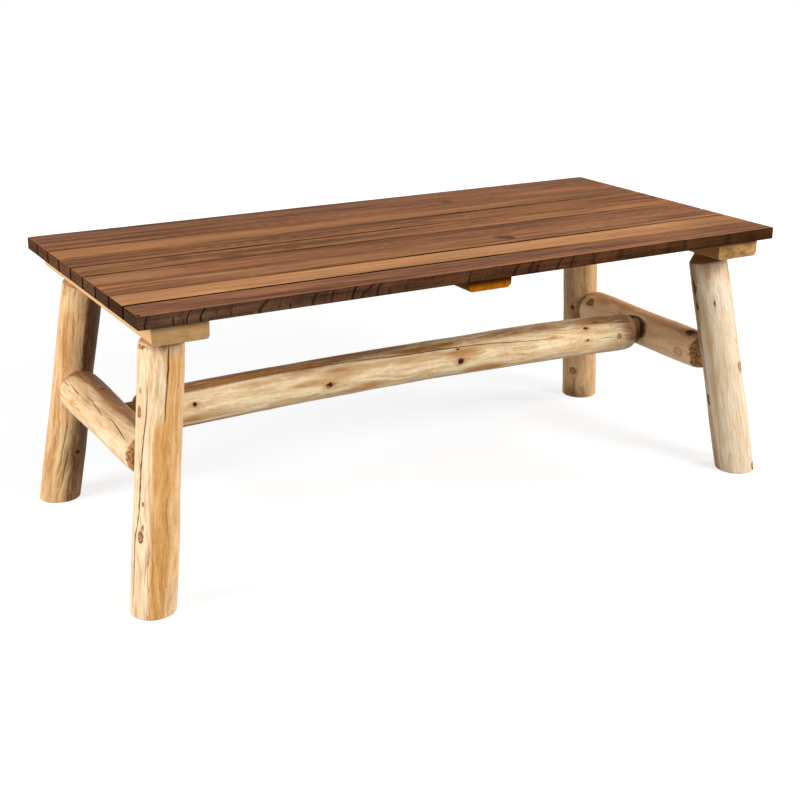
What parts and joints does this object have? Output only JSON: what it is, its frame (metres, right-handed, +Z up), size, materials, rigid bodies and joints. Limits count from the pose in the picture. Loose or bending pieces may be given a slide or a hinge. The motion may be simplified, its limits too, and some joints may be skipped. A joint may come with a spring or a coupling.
{
  "type": "log coffee table",
  "caption": "Rustic coffee table: gapped plank top on cleats, splayed peeled-log legs, round-tenoned log stretchers in an H.",
  "frame": {"origin": "centre of the table's overall box, on the floor under the feet", "axes": "+X along the table to the right, +Y to the back, +Z up; the front long edge faces -Y"},
  "size_m": [1.2798, 0.5914, 0.489],
  "materials": {
    "walnut_plank": "oiled satin",
    "pale_cleat": "planed, clear satin",
    "orange_cleat": "oiled satin",
    "peeled_log": "peeled, clear satin",
    "zinc_screw": "zinc plated"
  },
  "bodies": {
    "root": {"plank_1": "walnut_plank", "plank_2": "walnut_plank", "plank_3": "walnut_plank", "plank_4": "walnut_plank", "plank_5": "walnut_plank", "plank_6": "walnut_plank", "plank_7": "walnut_plank", "plank_8": "walnut_plank", "plank_9": "walnut_plank", "cleat_left": "pale_cleat", "cleat_right": "pale_cleat", "cleat_middle": "orange_cleat", "leg_front_left": "peeled_log", "leg_back_left": "peeled_log", "leg_front_right": "peeled_log", "leg_back_right": "peeled_log", "end_stretcher_left": "peeled_log", "end_stretcher_right": "peeled_log", "long_stretcher": "peeled_log", "cleat_screws_left": "zinc_screw", "cleat_screws_middle": "zinc_screw", "cleat_screws_right": "zinc_screw", "tenon_lock_screws": "zinc_screw"}
  },
  "joints": []
}
